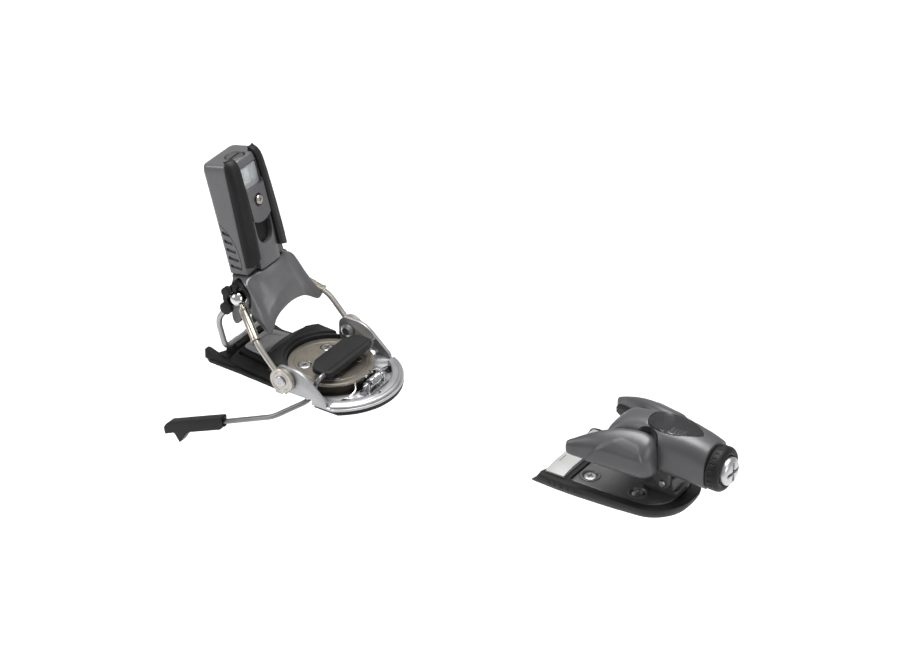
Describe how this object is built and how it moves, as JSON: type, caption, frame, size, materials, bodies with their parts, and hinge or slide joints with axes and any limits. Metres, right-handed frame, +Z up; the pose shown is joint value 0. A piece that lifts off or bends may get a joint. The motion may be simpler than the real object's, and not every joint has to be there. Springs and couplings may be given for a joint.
{
  "type": "alpine ski binding",
  "caption": "Step-in alpine ski binding: turntable heel piece on bent side arms with a rear stirrup and ski brake, and a separate toe piece with swinging wings.",
  "frame": {"origin": "on the heel turntable's axis, at the underside of the mounting disc, which is the ski's top surface", "axes": "+X from heel to toe along the ski, +Y to the skier's left, +Z up from the ski"},
  "size_m": [0.4367, 0.1102, 0.2176],
  "materials": {
    "graphite": "satin",
    "black_plastic": "matte",
    "dark_plate": "satin",
    "champagne": "satin",
    "silver": "satin",
    "chrome": "polished",
    "steel": "satin",
    "clear_window": "polished",
    "smoked_window": "polished",
    "afd_pale": "satin"
  },
  "bodies": {
    "ski_mounts": {"mounting_disc": "champagne", "heel_screw_1": "steel", "heel_screw_2": "steel", "heel_screw_3": "steel", "heel_screw_4": "steel", "toe_base": "black_plastic", "toe_plate": "dark_plate", "toe_screw_1": "steel", "toe_screw_2": "steel", "toe_screw_3": "steel", "toe_screw_4": "steel", "toe_post": "dark_plate", "toe_lift_pin": "steel"},
    "turntable": {"heel_base": "black_plastic", "heel_pad": "black_plastic", "turntable_frame": "silver", "brake_plate": "silver", "brake_bracket": "chrome", "brake_spring": "steel", "stirrup_bridge": "silver", "arm_rivet_right": "steel", "arm_rivet_left": "steel"},
    "stirrup": {"heel_stirrup": "silver"},
    "arms": {"arm_rod_right": "champagne", "arm_rod_left": "champagne", "arm_sleeve_right": "champagne", "arm_sleeve_left": "champagne"},
    "trunnions": {"trunnion_right": "chrome", "trunnion_left": "chrome", "pivot_axle": "steel"},
    "forward_screw_right": {"forward_screw_right": "champagne"},
    "forward_screw_left": {"forward_screw_left": "champagne"},
    "heel_head": {"heel_housing": "graphite", "heel_cup": "graphite", "rail_right": "black_plastic", "rail_left": "black_plastic", "knuckle_right": "black_plastic", "knuckle_left": "black_plastic", "heel_window": "clear_window", "heel_spring": "steel", "heel_piston": "steel", "cover_screw": "steel"},
    "heel_setting": {"heel_indicator": "silver"},
    "heel_adjuster": {"heel_adjuster": "dark_plate"},
    "brake": {"brake_arm_right": "steel", "brake_arm_left": "steel", "brake_tip_right": "black_plastic", "brake_tip_left": "black_plastic"},
    "pedal": {"brake_pedal": "black_plastic"},
    "toe_head": {"toe_housing": "graphite", "toe_window": "smoked_window", "toe_spring": "steel", "toe_bezel": "black_plastic"},
    "toe_setting": {"toe_indicator": "silver"},
    "toe_adjuster": {"toe_adjuster": "silver"},
    "wing_right": {"wing_right": "graphite", "wing_pad_right": "black_plastic"},
    "wing_left": {"wing_left": "graphite", "wing_pad_left": "black_plastic"},
    "afd": {"afd_plate": "afd_pale"}
  },
  "joints": [
    {"name": "turntable_swivel", "type": "hinge", "parent": "ski_mounts", "child": "turntable", "pos_m": [0, 0, 0], "axis": [0, 0, 1], "range_deg": [-30, 30]},
    {"name": "arm_swing", "type": "hinge", "parent": "turntable", "child": "arms", "pos_m": [-0.0115, 0, 0.017], "axis": [0, 1, 0], "range_deg": [-0.2, 1.3]},
    {"name": "forward_pressure", "type": "slide", "parent": "arms", "child": "trunnions", "axis": [-0.7983, 0, 0.6023], "range_m": [-0.0006, 0.0006]},
    {"name": "forward_screw_right", "type": "hinge", "parent": "trunnions", "child": "forward_screw_right", "pos_m": [-0.06, -0.0264, 0.0595], "axis": [-0.722, 0.4265, 0.5447], "range_deg": [-280, 280]},
    {"name": "forward_screw_left", "type": "hinge", "parent": "trunnions", "child": "forward_screw_left", "pos_m": [-0.06, 0.0264, 0.0595], "axis": [-0.722, -0.4265, 0.5447], "range_deg": [-280, 280]},
    {"name": "heel_open", "type": "hinge", "parent": "trunnions", "child": "heel_head", "pos_m": [-0.06, 0, 0.0595], "axis": [0, 1, 0], "range_deg": [-50, 0], "stiffness_Nm_per_rad": 2.5, "springref_deg": 20.05},
    {"name": "stirrup_swing", "type": "hinge", "parent": "turntable", "child": "stirrup", "pos_m": [-0.0743, 0, 0.0121], "axis": [0, 1, 0], "range_deg": [-0.5, 10.5]},
    {"name": "heel_adjust", "type": "hinge", "parent": "heel_head", "child": "heel_adjuster", "pos_m": [-0.07805, 0, 0.14632], "axis": [-0.1908, 0, 0.9816], "range_deg": [-760, 760]},
    {"name": "heel_setting", "type": "slide", "parent": "heel_head", "child": "heel_setting", "axis": [-0.1908, 0, 0.9816], "range_m": [-0.0031, 0.0031], "deforming": ["heel_spring"]},
    {"name": "brake_swing", "type": "hinge", "parent": "turntable", "child": "brake", "pos_m": [0.006, 0, 0.0039], "axis": [0, 1, 0], "range_deg": [0, 25], "stiffness_Nm_per_rad": 0.5, "springref_deg": -34.38},
    {"name": "pedal_tilt", "type": "hinge", "parent": "brake", "child": "pedal", "pos_m": [0.013, 0, 0.0217], "axis": [0, 1, 0], "range_deg": [-25.2, 0.5]},
    {"name": "toe_lift", "type": "hinge", "parent": "ski_mounts", "child": "toe_head", "pos_m": [0.28, 0, 0.0192], "axis": [0, 1, 0], "range_deg": [0, 6], "stiffness_Nm_per_rad": 4, "springref_deg": -5.73},
    {"name": "toe_adjust", "type": "hinge", "parent": "toe_head", "child": "toe_adjuster", "pos_m": [0.318, 0, 0.039], "axis": [1, 0, 0], "range_deg": [-560, 560]},
    {"name": "toe_setting", "type": "slide", "parent": "toe_head", "child": "toe_setting", "axis": [1, 0, 0], "range_m": [-0.0023, 0.0023], "deforming": ["toe_spring"]},
    {"name": "wing_right_swing", "type": "hinge", "parent": "toe_head", "child": "wing_right", "pos_m": [0.268, -0.021, 0.045], "axis": [0, 0, 1], "range_deg": [0, 25], "stiffness_Nm_per_rad": 1.5, "springref_deg": -11.46},
    {"name": "wing_left_swing", "type": "hinge", "parent": "toe_head", "child": "wing_left", "pos_m": [0.268, 0.021, 0.045], "axis": [0, 0, 1], "range_deg": [-25, 0], "stiffness_Nm_per_rad": 1.5, "springref_deg": 11.46},
    {"name": "afd_slide", "type": "slide", "parent": "ski_mounts", "child": "afd", "axis": [0, 1, 0], "range_m": [-0.006, 0.006], "stiffness_N_per_m": 150}
  ],
  "couplings": [
    {"joint": "arm_swing", "follows": "heel_open", "ratio": -0.02},
    {"joint": "stirrup_swing", "follows": "heel_open", "ratio": -0.204},
    {"joint": "forward_screw_right", "follows": "forward_pressure", "rad_per_m": 7854},
    {"joint": "forward_screw_left", "follows": "forward_pressure", "rad_per_m": 7854},
    {"joint": "heel_adjust", "follows": "heel_setting", "rad_per_m": -4188.8},
    {"joint": "toe_adjust", "follows": "toe_setting", "rad_per_m": -4188.8},
    {"joint": "pedal_tilt", "follows": "brake_swing", "ratio": -1}
  ]
}
